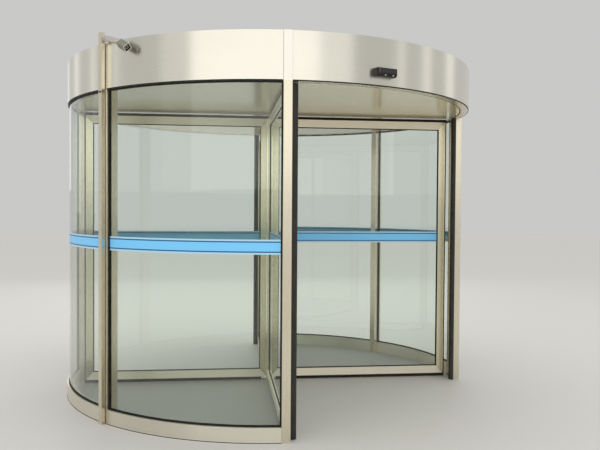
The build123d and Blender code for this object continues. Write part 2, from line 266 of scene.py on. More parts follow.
# %% Panels round the door and over it
PANEL_TINT = (1.0, 0.98, 0.95)
PANEL_DISTANCE, PANEL_MIDDLE = 9.4, 4.25
WIDE_PANEL_HEIGHT, BAND_PANEL_HEIGHT = 4.7, 5.6
LOW_PANEL_MIDDLE, TOP_PANEL_HEIGHT = 1.05, 9.0
MAIN_GLOW, SIDE_GLOW, LEFT_GLOW, LOW_GLOW, TOP_GLOW = 0.80, 0.40, 0.20, 0.17, 1.0


def light_panel(name, azimuth, distance, height, size, glow):
    """A dim panel that faces the door. Its glow is the brightness at which it is mirrored."""
    width, tall = size
    lamp = bpy.data.lights.new(name, "AREA")
    lamp.shape = "RECTANGLE"
    lamp.size, lamp.size_y = width, tall
    lamp.energy = glow * pi * width * tall
    lamp.color = PANEL_TINT
    holder = bpy.data.objects.new(name, lamp)
    turn = radians(azimuth)
    holder.location = (distance * cos(turn), distance * sin(turn), height)
    aim = Vector((0, 0, height)) - holder.location
    holder.rotation_euler = aim.to_track_quat("-Z", "Y").to_euler()
    holder.visible_camera = False
    holder.visible_transmission = name.startswith("front")
    bpy.context.scene.collection.objects.link(holder)
    return holder


for name, azimuth, width, glow in (
        ("front_main", 215.5, 11.4, MAIN_GLOW), ("front_left", 177.0, 2.6, LEFT_GLOW),
        ("front_right", 254.5, 2.5, SIDE_GLOW), ("rear_main", 46.0, 8.4, MAIN_GLOW),
        ("rear_right", 76.5, 2.0, SIDE_GLOW)):
    light_panel(f"{name}_panel", azimuth, PANEL_DISTANCE, PANEL_MIDDLE,
                (width, WIDE_PANEL_HEIGHT), glow)
for azimuth, width in ((289.3, 0.62), (307.5, 1.0), (329.6, 1.5), (101, 1.2), (122, 0.8),
                       (141, 0.5)):
    light_panel(f"band_{azimuth:.0f}_panel", azimuth, PANEL_DISTANCE, PANEL_MIDDLE,
                (width, BAND_PANEL_HEIGHT), SIDE_GLOW)
light_panel("post_low_panel", 233, PANEL_DISTANCE, LOW_PANEL_MIDDLE, (2.6, 1.7), LOW_GLOW)
top_panel = light_panel("top_panel", 240, 0.01, TOP_PANEL_HEIGHT, (6.0, 6.0), TOP_GLOW)
top_panel.rotation_euler = (0, 0, 0)        # it hangs over the door and looks straight down

# %% [markdown]
# ## The camera
# The view was worked out from the edges of the drum in the photograph. The camera stands 6.3
# metres away to the left of the entrance, at eye level, looks slightly down, and its horizon is
# turned by a third of a degree.

# %% Place the camera
EYE_PLACE = (-4.648, -4.297, 1.559)
EYE_TURN, EYE_DROP, EYE_ROLL = 49.72, 1.34, 0.377

lens_data = bpy.data.cameras.new("eye_level")
lens_data.sensor_width = 36.0
lens_data.lens = 41.76
lens_data.clip_end = 200
eye = bpy.data.objects.new("eye_level", lens_data)
bpy.context.scene.collection.objects.link(eye)
looking = Euler((radians(90 - EYE_DROP), 0, -radians(EYE_TURN))).to_matrix()
tilted = looking @ Matrix.Rotation(radians(EYE_ROLL), 3, "Z")
eye.matrix_world = Matrix.Translation(EYE_PLACE) @ tilted.to_4x4()
bpy.context.scene.camera = eye
print("camera at", [round(v, 3) for v in eye.location], "lens", lens_data.lens)

# %% [markdown]
# ## Stainless steel
# The posts, frames, kick plates and canopy are stainless sheet, brushed in one direction and
# faintly cloudy from handling. Brushing makes thousands of fine scratches along the sheet. They
# smear a mirrored light across the grain and leave it sharp along it, which is why the canopy
# shows crisp upright bands. The shader's anisotropy does that smearing, and its tangent says
# which way. The scratches themselves are noise, stretched along the grain, in the roughness and
# in a very small bump. The grain runs upright on the posts, around the drum on the curved
# sheets, and along each rail. It is built from Object coordinates, so it turns with the wings.

# %% Material helpers
NOISE_LOW, NOISE_HIGH = 0.3, 0.7


def linear(red, green, blue):
    """A colour written as it shows on screen, from 0 to 255, turned to Blender's own scale."""
    def one(v):
        v = v / 255
        return v / 12.92 if v <= 0.04045 else ((v + 0.055) / 1.055) ** 2.4
    return (one(red), one(green), one(blue), 1)


def object_place(tree):
    return add_node(tree, "ShaderNodeTexCoord").outputs["Object"]


def noise_field(tree, place, scale, detail=3.0, rough=0.55):
    noise = add_node(tree, "ShaderNodeTexNoise", Vector=place, Scale=scale, Detail=detail,
                     Roughness=rough)
    return noise.outputs["Fac"]


def in_range(tree, noise, low, high):
    """Noise hardly leaves its middle, so its usual span is spread out between two values."""
    spread = add_node(tree, "ShaderNodeMapRange", Value=noise, From_Min=NOISE_LOW,
                      From_Max=NOISE_HIGH, To_Min=low, To_Max=high)
    return spread.outputs["Result"]


def mixed_colour(tree, share, first, second):
    mix = add_node(tree, "ShaderNodeMix", choices={"data_type": "RGBA"}, Factor=share, A=first,
                   B=second)
    return mix.outputs["Result"]


def bumped(tree, height, strength, distance):
    bump = add_node(tree, "ShaderNodeBump", Height=height, Strength=strength, Distance=distance)
    return bump.outputs["Normal"]


print("screen grey 128 is", round(linear(128, 128, 128)[0], 3))

# %% The direction of the grain
SCRATCH_FINE, SCRATCH_LONG = 1500, 14
STREAK_FINE, STREAK_LONG = 90, 1.1
SLANT = 0.2
ALMOST_ZERO = 0.001     # a Mapping scaled by 0 all round would be dropped


def mapped(tree, place, **values):
    return add_node(tree, "ShaderNodeMapping", Vector=place, **values).outputs["Vector"]


def unrolled(tree, place):
    """A point of the drum as (angle, 0, height), so that a pattern can run around it."""
    split = add_node(tree, "ShaderNodeSeparateXYZ", place).outputs
    turn = worked_out(tree, "ARCTAN2", split["Y"], split["X"])
    return add_node(tree, "ShaderNodeCombineXYZ", X=turn, Z=split["Z"]).outputs[0]


def stretched(tree, place, grain, fine, long):
    """The same place, squeezed across the grain, so that noise on it turns into scratches."""
    if grain == "upright":
        return mapped(tree, place, Scale=(fine, fine, long))
    if grain == "around":
        return mapped(tree, place, Scale=(long * DRUM_RADIUS, 1, fine))
    along = mapped(tree, place, Rotation=(0, 0, -radians(grain)))
    return mapped(tree, along, Scale=(long, fine, fine))


def across_grain(tree, place, grain):
    """The direction in which the brushing smears a light, for the shader's tangent.

    Across a level grain it points up, and slants a little, so that faces that look straight up
    or down have a direction too.
    """
    if grain == "upright":
        way = mapped(tree, place, Rotation=(0, 0, radians(45)), Scale=(1, 1, 0))
    elif grain == "around":
        way = mapped(tree, place, Location=(0, 0, 1), Scale=(SLANT, SLANT, 0))
    else:
        turn = radians(grain)
        way = mapped(tree, place, Location=(SLANT * sin(turn), -SLANT * cos(turn), 1),
                     Scale=(ALMOST_ZERO, ALMOST_ZERO, ALMOST_ZERO))
    choices = {"vector_type": "VECTOR", "convert_from": "OBJECT", "convert_to": "WORLD"}
    turned = add_node(tree, "ShaderNodeVectorTransform", way, choices=choices)
    return turned.outputs["Vector"]


print("scratches are about", round(1000 / SCRATCH_FINE, 2), "mm wide")

# %% Brushed stainless
SCRATCH_BUMP, SCRATCH_DEPTH = 0.03, 0.0002
ROUGH_BELOW, ROUGH_ABOVE = 0.03, 0.04
CLOUD_SCALE = 3.2
STREAK_SHARE, CLOUD_SHARE = 0.6, 0.4


def brushed_stainless(name, grain, colour, smudge, rough, smear):
    material, tree, shader = new_material(name)
    place = object_place(tree)
    tangent = across_grain(tree, place, grain)
    if grain == "around":
        place = unrolled(tree, place)
    scratches = noise_field(tree, stretched(tree, place, grain, SCRATCH_FINE, SCRATCH_LONG), 1.0)
    streaks = noise_field(tree, stretched(tree, place, grain, STREAK_FINE, STREAK_LONG), 1.0)
    clouds = noise_field(tree, place, CLOUD_SCALE, detail=4.0, rough=0.6)
    smudges = worked_out(tree, "MULTIPLY_ADD", streaks, STREAK_SHARE,
                         in_range(tree, clouds, 0.0, CLOUD_SHARE))
    feed(tree, shader, Metallic=1.0, Anisotropic=smear, Tangent=tangent,
         Base_Color=mixed_colour(tree, smudges, colour, smudge),
         Roughness=in_range(tree, scratches, rough - ROUGH_BELOW, rough + ROUGH_ABOVE),
         Normal=bumped(tree, scratches, SCRATCH_BUMP, SCRATCH_DEPTH))
    return material


# The rails' steel is the stiles' steel made brighter, standing in for the light the rails catch:
# painted highlight.
RAIL_STEEL_PAINTED_BRIGHT, RAIL_SMUDGE_PAINTED_BRIGHT = (0.96, 0.895, 0.755, 1), (0.91, 0.84, 0.685, 1)
STEELS = {      # grain, colour, smudge, roughness, smear
    "canopy_steel": ("around", (0.82, 0.797, 0.712, 1), (0.76, 0.733, 0.642, 1), 0.24, 0.75),
    "ring_steel": ("around", (0.66, 0.59, 0.47, 1), (0.60, 0.535, 0.42, 1), 0.27, 0.6),
    "fascia_strip_steel": ("upright", (0.75, 0.735, 0.67, 1), (0.705, 0.69, 0.62, 1), 0.23, 0.6),
    "post_steel": ("upright", (0.785, 0.73, 0.585, 1), (0.71, 0.648, 0.50, 1), 0.27, 0.3),
    "kick_plate_steel": ("around", (0.87, 0.825, 0.71, 1), (0.79, 0.745, 0.63, 1), 0.36, 0.95),
    "stile_steel": ("upright", (0.77, 0.72, 0.53, 1), (0.70, 0.645, 0.455, 1), 0.24, 0.6),
    "rail_steel_painted_bright_a": (WING_ANGLES[2], RAIL_STEEL_PAINTED_BRIGHT, RAIL_SMUDGE_PAINTED_BRIGHT, 0.38, 0.95),
    "rail_steel_painted_bright_b": (WING_ANGLES[3], RAIL_STEEL_PAINTED_BRIGHT, RAIL_SMUDGE_PAINTED_BRIGHT, 0.38, 0.95),
    "polished_trim_steel": ("upright", (0.96, 0.94, 0.83, 1), (0.92, 0.895, 0.78, 1), 0.16, 0.2),
    "screw_steel": ("around", (0.62, 0.60, 0.55, 1), (0.54, 0.52, 0.47, 1), 0.30, 0.2),
}
steels = {name: brushed_stainless(name, *row) for name, row in STEELS.items()}
print("steels", list(steels))

# %% [markdown]
# ## Glass
# The curved panes are laminated safety glass with the slight green of iron in it, and the
# wings hold flat toughened glass. Clear glass bends hardly any light when it is a flat sheet,
# so the lamps' rays may pass straight through it. That keeps the inside of the drum bright,
# as it is behind real glass. The faint waviness and the film of dust are in the roughness.

# %% Clear glass with a slight green
SHADOW_TINT = (0.93, 0.97, 0.94, 1)


def clear_glass(name, tint, dust):
    material, tree, shader = new_material(name)
    film = noise_field(tree, object_place(tree), 2.5, detail=5.0, rough=0.6)
    feed(tree, shader, Transmission_Weight=1.0, IOR=1.45, Base_Color=tint,
         Roughness=in_range(tree, film, 0.0, dust))
    passing = add_node(tree, "ShaderNodeBsdfTransparent", Color=SHADOW_TINT)
    ray = add_node(tree, "ShaderNodeLightPath")
    choose = add_node(tree, "ShaderNodeMixShader", ray.outputs["Is Shadow Ray"],
                      shader.outputs["BSDF"], passing.outputs[0])
    feed(tree, tree.nodes["Material Output"], Surface=choose.outputs[0])
    return material


pane_glass = clear_glass("curved_pane_glass", (0.90, 0.95, 0.912, 1), 0.02)
wing_glass = clear_glass("wing_pane_glass", (0.92, 0.96, 0.925, 1), 0.015)
print("glass", pane_glass.name, wing_glass.name)

# %% [markdown]
# ## Rubber, painted metal, plastic and the ceiling panel
# Black rubber is never quite black: it is a dark grey with a dull, dusty sheen and a slightly
# pebbled skin. The moulded covers have a fine texture too. The ceiling is a smooth laminate
# with a soft gloss, in which the frames below are mirrored.

# %% Dull and moulded materials
PEBBLE_DEPTH = 0.0006
COAT_ROUGH = 0.12


def moulded(name, colour, second, rough, rough_spread, grain_scale, bump, sheen=0.5, coat=0.0):
    """Patches of two close colours, under a skin of pebbles that are 30 times finer."""
    material, tree, shader = new_material(name)
    place = object_place(tree)
    patches = noise_field(tree, place, grain_scale / 30, detail=4.0, rough=0.6)
    feed(tree, shader, Specular_IOR_Level=sheen,
         Base_Color=mixed_colour(tree, in_range(tree, patches, 0, 1), colour, second),
         Roughness=in_range(tree, patches, rough, rough + rough_spread))
    if bump:
        pebbles = noise_field(tree, place, grain_scale, detail=2.0, rough=0.5)
        feed(tree, shader, Normal=bumped(tree, pebbles, bump, PEBBLE_DEPTH))
    if coat:
        feed(tree, shader, Coat_Weight=coat, Coat_Roughness=COAT_ROUGH)
    return material


safety_rubber = moulded("safety_edge_rubber", (0.016, 0.016, 0.014, 1),
                        (0.032, 0.031, 0.026, 1), 0.44, 0.14, 420, 0.12, 0.35)
gasket_rubber = moulded("glazing_rubber", (0.007, 0.009, 0.007, 1), (0.015, 0.017, 0.014, 1),
                        0.48, 0.14, 600, 0.12, 0.22)
# The black band under the fascia's edge is partly a rubber trim and partly painted shade for the
# dark gap there.
trim_rubber_and_painted_shade = moulded("trim_rubber_and_painted_shade", (0.014, 0.015, 0.010, 1), (0.032, 0.033, 0.022, 1),
                      0.50, 0.14, 500, 0.10, 0.25)
bristle_fibre = moulded("brush_fibre", (0.010, 0.009, 0.008, 1), (0.036, 0.026, 0.019, 1),
                        0.62, 0.12, 900, 0.25, 0.25)
grey_paint = moulded("grey_roof_paint", (0.46, 0.455, 0.43, 1), (0.51, 0.50, 0.47, 1),
                     0.42, 0.10, 260, 0.06)
ceiling_laminate = moulded("ceiling_laminate", (0.77, 0.68, 0.43, 1), (0.79, 0.70, 0.45, 1),
                           0.22, 0.03, 120, 0, coat=0.45)
sensor_plastic = moulded("sensor_plastic", (0.007, 0.007, 0.007, 1), (0.013, 0.012, 0.012, 1),
                         0.34, 0.10, 700, 0.05, 0.3)
camera_paint = moulded("camera_paint", (0.155, 0.165, 0.125, 1), (0.20, 0.21, 0.16, 1),
                       0.34, 0.10, 500, 0.06)
rim_paint = moulded("camera_rim_paint", (0.76, 0.75, 0.68, 1), (0.82, 0.81, 0.74, 1),
                    0.30, 0.10, 500, 0.04)
arm_paint = moulded("camera_arm_paint", (0.34, 0.305, 0.25, 1), (0.40, 0.36, 0.30, 1),
                    0.36, 0.10, 500, 0.06)
print("materials so far", len(bpy.data.materials))

# %% [markdown]
# ## Finishes for the measured solids
# Each solid whose shape is right keeps it and only gets its finish, written into the material
# slots of its object. A table from name to material is the shortest way, and what it doesn't
# name is printed, so that no solid is forgotten.

# %% Give each solid its finish
# The shadow trim's black is partly painted shade under the fascia's edge.
finish = {
    "fascia_strips": steels["fascia_strip_steel"], "shadow_trim": trim_rubber_and_painted_shade,
    "canopy_ring": steels["ring_steel"], "upper_ring": grey_paint, "roof_cover": grey_paint,
    "ceiling": ceiling_laminate, "header_rail": grey_paint,
    "floor_bearing": steels["kick_plate_steel"], "top_bearing": steels["post_steel"],
    "centre_post": steels["stile_steel"], "camera_arm": arm_paint,
    "camera_housing": camera_paint,
}
for corner in WALLS:
    finish[f"post_{corner}"] = steels["post_steel"]
    finish[f"pane_{corner}"] = pane_glass
for side in ("left", "right"):
    finish[f"mullion_{side}"] = steels["post_steel"]
    finish[f"kick_plates_{side}"] = steels["kick_plate_steel"]
    finish[f"gaskets_{side}"] = gasket_rubber
    finish[f"fascia_{side}"] = steels["canopy_steel"]
for side in ("front", "rear"):
    finish[f"fascia_{side}"] = steels["canopy_steel"]
    finish[f"safety_edges_{side}"] = safety_rubber
    finish[f"sensor_{side}"] = sensor_plastic
for number, rail in enumerate(("rail_steel_painted_bright_a", "rail_steel_painted_bright_b") * 2, 1):
    finish[f"wing_{number}_stiles"] = steels["stile_steel"]
    finish[f"wing_{number}_rails"] = steels[rail]
    finish[f"wing_{number}_glass"] = wing_glass
    finish[f"wing_{number}_brushes"] = bristle_fibre
for name, material in finish.items():
    for slot in nodes[name].material_slots:
        slot.material = material
print("left bare:", sorted(set(nodes) - set(finish)))

# %% [markdown]
# ## The blue safety bands
# A band of film at chest height keeps people from walking into the glass. On this door it is
# a light blue stripe between thin dark lines, with paler lines outside them, and it runs round
# the curved panes and across the wings. It is a real film, so it is modelled as a thin strip
# that lies on the glass and ends just short of the rubber at the sides, and its stripes come
# from the height of each point.

# %% The film's stripes
BAND_CENTRE, BAND_HEIGHT = 1.303, 0.100
BAND_LOW, BAND_HIGH = BAND_CENTRE - BAND_HEIGHT / 2, BAND_CENTRE + BAND_HEIGHT / 2
PALE_LINE, DARK_LINE, BLUE = linear(172, 216, 242), linear(30, 92, 140), linear(120, 204, 255)
STRIPES = [(0.0, PALE_LINE), (0.12, DARK_LINE), (0.21, BLUE), (0.79, DARK_LINE),
           (0.88, PALE_LINE)]


def band_material():
    material, tree, shader = new_material("blue_safety_film")
    place = object_place(tree)
    height = add_node(tree, "ShaderNodeSeparateXYZ", place).outputs["Z"]
    share = add_node(tree, "ShaderNodeMapRange", Value=height, From_Min=BAND_LOW,
                     From_Max=BAND_HIGH)
    stripes = add_node(tree, "ShaderNodeValToRGB", share.outputs["Result"])
    ramp = stripes.color_ramp
    ramp.interpolation = "CONSTANT"
    while len(ramp.elements) < len(STRIPES):
        ramp.elements.new(0.5)
    for element, (position, colour) in zip(ramp.elements, STRIPES):
        element.position = position
        element.color = colour
    dust = noise_field(tree, place, 60, rough=0.6)
    feed(tree, shader, Base_Color=stripes.outputs["Color"],
         Roughness=in_range(tree, dust, 0.30, 0.44))
    return material


safety_film = band_material()
print("band from", BAND_LOW, "to", BAND_HIGH)

# %% Strips of film on the panes and the wings
FILM = 0.0004
PANE_END = POST_WIDTH / 2 + 0.0108
WING_END = 0.0075
opening_inner, opening_outer = WING_INNER + STILE_WIDTH, WING_OUTER - STILE_WIDTH
opening_bottom, opening_top = WING_BOTTOM + RAIL_HEIGHT, WING_TOP - RAIL_HEIGHT

section = rectangle(GLASS_OUTER + AIR, GLASS_OUTER + AIR + FILM, BAND_LOW, BAND_HIGH)
for name, span in WALLS.items():
    film = new_piece(f"film_{name}", *curved_bar(section, span, PANE_END), True)
    film.data.materials.append(safety_film)
    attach(film, "drum")

face = WING_GLASS / 2 + AIR
outline = rectangle(opening_inner + WING_END, opening_outer - WING_END, BAND_LOW, BAND_HIGH)
for number, angle in enumerate(WING_ANGLES, 1):
    sides = [[on_wing(angle, out, across, z) for out, z in outline]
             for across in (face, face + FILM)]
    film = new_piece(f"film_wing_{number}", *slab(*sides))
    film.data.materials.append(safety_film)
    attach(film, "rotor")
print("films made", len(WALLS) + len(WING_ANGLES))

# %% [markdown]
# ## Glazing beads in the wings
# Inside each wing's frame a black rubber bead holds the glass on both faces. It is one
# profile, mitred at four corners, like a picture frame. Sweeping the profile round the four
# corners gives true mitres, and its rounded lip catches a thin line of light.

# %% Sweep a bead round each opening
BEAD_SIGHT = 0.007
BEAD_RISE = 0.0060
GLASS_FACE = WING_GLASS / 2 + 0.0003
BEAD_PROFILE = [    # inset from the frame's lip, distance from the middle of the glass
    (AIR, GLASS_FACE), (BEAD_SIGHT, GLASS_FACE), (BEAD_SIGHT, GLASS_FACE + 0.0012),
    (BEAD_SIGHT * 0.82, GLASS_FACE + BEAD_RISE * 0.55),
    (BEAD_SIGHT * 0.50, GLASS_FACE + BEAD_RISE * 0.88),
    (BEAD_SIGHT * 0.2, GLASS_FACE + BEAD_RISE), (AIR, GLASS_FACE + BEAD_RISE)]


def bead_frame(angle, side):
    verts = []
    for corner in range(4):
        for inset, across in BEAD_PROFILE:
            out = (opening_inner + inset) if corner in (0, 3) else (opening_outer - inset)
            z = (opening_bottom + inset) if corner in (0, 1) else (opening_top - inset)
            verts.append(on_wing(angle, out, side * across, z))
    return verts, side_faces(4, len(BEAD_PROFILE), closed=True)


for number, angle in enumerate(WING_ANGLES, 1):
    bead = new_piece(f"glazing_beads_{number}",
                     *join_parts([bead_frame(angle, 1), bead_frame(angle, -1)]), True, 50)
    bead.data.materials.append(gasket_rubber)
    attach(bead, "rotor")
print("beads stand", BEAD_RISE * 1000, "mm off the glass")

# %% [markdown]
# ## Corner trims at the centre
# Where two wings meet at the centre post, a slim rounded trim closes the corner between their
# frames. It is only a few millimetres wide, but being round it always mirrors some bright part
# of its surroundings, and so it draws the thin upright lines of light at the heart of the door.
# A circle pushed upright does for it, since its inner half is hidden in the corner.

# %% Four rounded trims
TRIM_RADIUS = 0.0085
TRIM_PLACE = WING_THICKNESS / 2 + TRIM_RADIUS * 0.35
TRIM_END = 0.0004


def corner_trim(angle):
    ends = [[on_wing(angle, TRIM_PLACE + x, TRIM_PLACE + y, z)
             for x, y in circle(20, TRIM_RADIUS)]
            for z in (WING_BOTTOM + TRIM_END, WING_TOP - TRIM_END)]
    return slab(*ends)


trims = new_piece("corner_trims", *join_parts([corner_trim(a) for a in WING_ANGLES]), True, 50)
trims.data.materials.append(steels["polished_trim_steel"])
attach(trims, "rotor")
print("trims of", TRIM_RADIUS * 2000, "mm across")

# %% [markdown]
# ## Brush seals
# Every wing is sealed by a brush along its outer edge, its top and its bottom: fibres held in a
# slot of the frame. One solid bar would look like plastic, and thousands of fibres made by hand
# would be hopeless, so a Geometry Nodes tree grows them. It takes lines along the roots of the
# brush, resamples them at a set spacing, and sets a slim four-sided fibre on each point. Each
# line's points carry a direction and a length, and a seeded random value varies the lean and
# the length. A dark core inside the rows stands for the fibres too dense to see.
#
# The screws further down are set by a second tree. Both set a shape upright on points and turn
# each one a little, and both end in Realize Instances and Set Material, so they share helpers.

# %% Helpers for trees that set a shape on points
def start_tree(name, sockets):
    """A tree with named inputs, given as (label, kind, default), and one result."""
    tree = bpy.data.node_groups.new(name, "GeometryNodeTree")
    ids = {}
    for label, kind, default in sockets:
        socket = tree.interface.new_socket(label, in_out="INPUT", socket_type="NodeSocket" + kind)
        ids[label] = socket.identifier
        if default is not None:
            socket.default_value = default
    tree.interface.new_socket("Geometry", in_out="OUTPUT", socket_type="NodeSocketGeometry")
    return tree, ids, add_node(tree, "NodeGroupInput").outputs


def carried(tree, name, kind):
    """A value that the points of the mesh carry."""
    return add_node(tree, "GeometryNodeInputNamedAttribute", choices={"data_type": kind},
                    Name=name).outputs["Attribute"]


def random_value(tree, kind, **values):
    return add_node(tree, "FunctionNodeRandomValue", choices={"data_type": kind},
                    **values).outputs["Value"]


def set_on_points(tree, given, points, shape, scale, turn):
    """Set a shape upright on each point, turn it, make it real and give it its material."""
    upright = add_node(tree, "FunctionNodeAlignRotationToVector", choices={"axis": "Z"},
                       Vector=carried(tree, "grow", "FLOAT_VECTOR"))
    plant = add_node(tree, "GeometryNodeInstanceOnPoints", Points=points, Instance=shape,
                     Rotation=upright.outputs["Rotation"], Scale=scale)
    turned = add_node(tree, "GeometryNodeRotateInstances", Rotation=turn,
                      Instances=plant.outputs["Instances"])
    solid = add_node(tree, "GeometryNodeRealizeInstances", Geometry=turned.outputs["Instances"])
    coat = add_node(tree, "GeometryNodeSetMaterial", Geometry=solid.outputs["Geometry"],
                    Material=given["Material"])
    add_node(tree, "NodeGroupOutput", Geometry=coat.outputs["Geometry"])


print("made", [f.__name__ for f in (start_tree, carried, random_value, set_on_points)])

# %% A tree that grows bristles along lines
SHORTEST = 0.88


def bristle_tree():
    tree, ids, given = start_tree("grow_bristles", (
        ("Geometry", "Geometry", None), ("Spacing", "Float", 0.004),
        ("Root Radius", "Float", 0.0018), ("Tip Radius", "Float", 0.0009),
        ("Lean", "Float", 0.05), ("Seed", "Int", 1), ("Material", "Material", None)))
    lines = add_node(tree, "GeometryNodeMeshToCurve", Mesh=given["Geometry"])
    points = add_node(tree, "GeometryNodeResampleCurve", choices={"mode": "LENGTH"},
                      Curve=lines.outputs["Curve"], Length=given["Spacing"])
    fibre = add_node(tree, "GeometryNodeMeshCone", Vertices=4, Depth=1.0,
                     Radius_Top=given["Tip Radius"], Radius_Bottom=given["Root Radius"])
    vary = random_value(tree, "FLOAT", Min=SHORTEST, Max=1.0, Seed=given["Seed"])
    length = worked_out(tree, "MULTIPLY", carried(tree, "reach", "FLOAT"), vary)
    size = add_node(tree, "ShaderNodeCombineXYZ", 1.0, 1.0, length)
    sway = random_value(tree, "FLOAT_VECTOR", Min=(-1, -1, -1), Seed=given["Seed"])
    lean = add_node(tree, "ShaderNodeVectorMath", sway, choices={"operation": "SCALE"},
                    Scale=given["Lean"])
    set_on_points(tree, given, points.outputs["Curve"], fibre.outputs["Mesh"],
                  size.outputs[0], lean.outputs["Vector"])
    return tree, ids


bristles, bristle_ids = bristle_tree()
print("bristle tree has", len(bristles.nodes), "nodes and inputs", list(bristle_ids))

# %% Turn a tree's result into a plain mesh
def carrier_mesh(name, verts, edges, directions, reaches):
    """Points or lines for a tree to work on, each point with a direction and a size."""
    mesh = bpy.data.meshes.new(name)
    mesh.from_pydata([tuple(v) for v in verts], edges, [])
    grow = mesh.attributes.new("grow", "FLOAT_VECTOR", "POINT")
    grow.data.foreach_set("vector", [part for way in directions for part in way])
    mesh.attributes.new("reach", "FLOAT", "POINT").data.foreach_set("value", reaches)
    return mesh


def grown(name, carrier, tree, values):
    """Run a tree on a mesh of points or lines, and return its result as a plain piece."""
    seedbed = bpy.data.objects.new(name + "_lines", carrier)
    bpy.context.scene.collection.objects.link(seedbed)
    modifier = seedbed.modifiers.new("grow", "NODES")
    modifier.node_group = tree
    for identifier, value in values.items():
        modifier[identifier] = value
    seedbed.update_tag()
    bpy.context.view_layer.update()
    seen = seedbed.evaluated_get(bpy.context.evaluated_depsgraph_get())
    mesh = bpy.data.meshes.new_from_object(seen)
    mesh.name = name
    seedbed.modifiers.remove(modifier)
    bpy.data.objects.remove(seedbed)
    piece = bpy.data.objects.new(name, mesh)
    bpy.context.scene.collection.objects.link(piece)
    return piece


print("made", [f.__name__ for f in (carrier_mesh, grown)])

# %% Grow the brushes of each wing
BRUSH_SEAT = 0.0077
OUTER_ROOT, TOP_ROOT = WING_OUTER - BRUSH_SEAT, WING_TOP - BRUSH_SEAT
BOTTOM_ROOT = WING_BOTTOM + BRUSH_SEAT
BRUSH_END = OUTER_ROOT - 0.0008
BRUSH_START = 0.0700
ROWS = (-0.0037, 0.0, 0.0037)
ROW_NUDGE = 0.0012
END_ROOM, START_ROOM, CORNER_ROOM = 0.003, 0.002, 0.001
BRUSH_RUNS = [      # start and end of the root line, the way the bristles grow, their length
    ((OUTER_ROOT, BRUSH_FLOOR + END_ROOM), (OUTER_ROOT, BRUSH_TOP - END_ROOM), (1, 0),
     BRUSH_TIP - OUTER_ROOT - AIR),
    ((WING_INNER + END_ROOM, TOP_ROOT), (BRUSH_END - CORNER_ROOM, TOP_ROOT), (0, 1),
     BRUSH_TOP - TOP_ROOT - AIR),
    ((BRUSH_START + START_ROOM, BOTTOM_ROOT), (BRUSH_END - CORNER_ROOM, BOTTOM_ROOT), (0, -1),
     BOTTOM_ROOT - BRUSH_FLOOR - AIR),
]


def brush_lines(name, angle):
    verts, edges, grow, reach = [], [], [], []
    for start, end, (out_way, up_way), length in BRUSH_RUNS:
        for row, across in enumerate(ROWS):
            nudge = ROW_NUDGE * row
            edges.append((len(verts), len(verts) + 1))
            verts += [on_wing(angle, start[0] + nudge * abs(up_way), across,
                              start[1] + nudge * abs(out_way)),
                      on_wing(angle, end[0], across, end[1])]
            grow += [on_wing(angle, out_way, 0, up_way)] * 2
            reach += [length] * 2
    return carrier_mesh(name, verts, edges, grow, reach)


for number, angle in enumerate(WING_ANGLES, 1):
    piece = grown(f"wing_{number}_bristles", brush_lines(f"rows_{number}", angle), bristles, {
        bristle_ids["Spacing"]: 0.0036, bristle_ids["Root Radius"]: 0.0022,
        bristle_ids["Tip Radius"]: 0.0011, bristle_ids["Lean"]: 0.035,
        bristle_ids["Seed"]: number, bristle_ids["Material"]: bristle_fibre})
    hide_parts(f"wing_{number}_brushes")
    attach(piece, "rotor")
    print(piece.name, "faces", len(piece.data.polygons))

# %% The dense core inside each brush
CORE = (-0.0040, 0.0040)
CORE_SHORT, CORE_TIP = 0.0005, 0.004


def bar_on_wing(angle, out, across, height):
    """A straight bar on a wing from three (low, high) ranges."""
    return slab(*[[on_wing(angle, x, y, z) for x, y in rectangle(*out, *across)] for z in height])


for number, angle in enumerate(WING_ANGLES, 1):
    cores = [
        bar_on_wing(angle, (OUTER_ROOT, BRUSH_TIP - CORE_TIP), CORE,
                    (BRUSH_FLOOR + CORE_SHORT, BRUSH_TOP - CORE_SHORT)),
        bar_on_wing(angle, (WING_INNER + CORNER_ROOM, BRUSH_END - CORNER_ROOM), CORE,
                    (TOP_ROOT, BRUSH_TOP - CORE_SHORT)),
        bar_on_wing(angle, (BRUSH_START, BRUSH_END - CORNER_ROOM), CORE,
                    (BRUSH_FLOOR + CORE_SHORT, BOTTOM_ROOT)),
    ]
    core = new_piece(f"brush_core_{number}", *join_parts(cores))
    core.data.materials.append(bristle_fibre)
    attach(core, "rotor")
print("cores made for", len(WING_ANGLES), "wings")

# %% [markdown]
# ## A joint and a dark strip that lie along the curve
# A thin black joint closes the kick plates against the floor. A black strip lies in the slot
# between the steel rim and the ceiling panel to darken it: painted shade where the slot is only
# in shade. Both follow the drum, so they are sections swept around it, with the same square ends
# as the plates.

# %% Floor joint and a black strip of painted shade in the slot
JOINT_INNER, JOINT_OUTER = KICK_OUTER - 0.0006, DRUM_RADIUS - 0.0001
JOINT_LIP, JOINT_TOP = 0.0028, 0.0045
JOINT_SECTION = [(JOINT_INNER, 0.0), (JOINT_OUTER, 0.0), (JOINT_OUTER, JOINT_LIP),
                 (KICK_OUTER - AIR, JOINT_TOP), (JOINT_INNER, JOINT_TOP)]
JOINT_END = POST_WIDTH / 2 + 0.0005
SLOT_INNER, SLOT_OUTER = 1.6670, 1.6764
SLOT_SECTION = rectangle(SLOT_INNER, SLOT_OUTER, CLEAR_HEIGHT + 0.0085, CLEAR_HEIGHT + 0.0117)

joints = [curved_bar(JOINT_SECTION, span, JOINT_END) for span in WALLS.values()]
floor_joint = new_piece("floor_joint", *join_parts(joints), True)
floor_joint.data.materials.append(gasket_rubber)
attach(floor_joint, "drum")

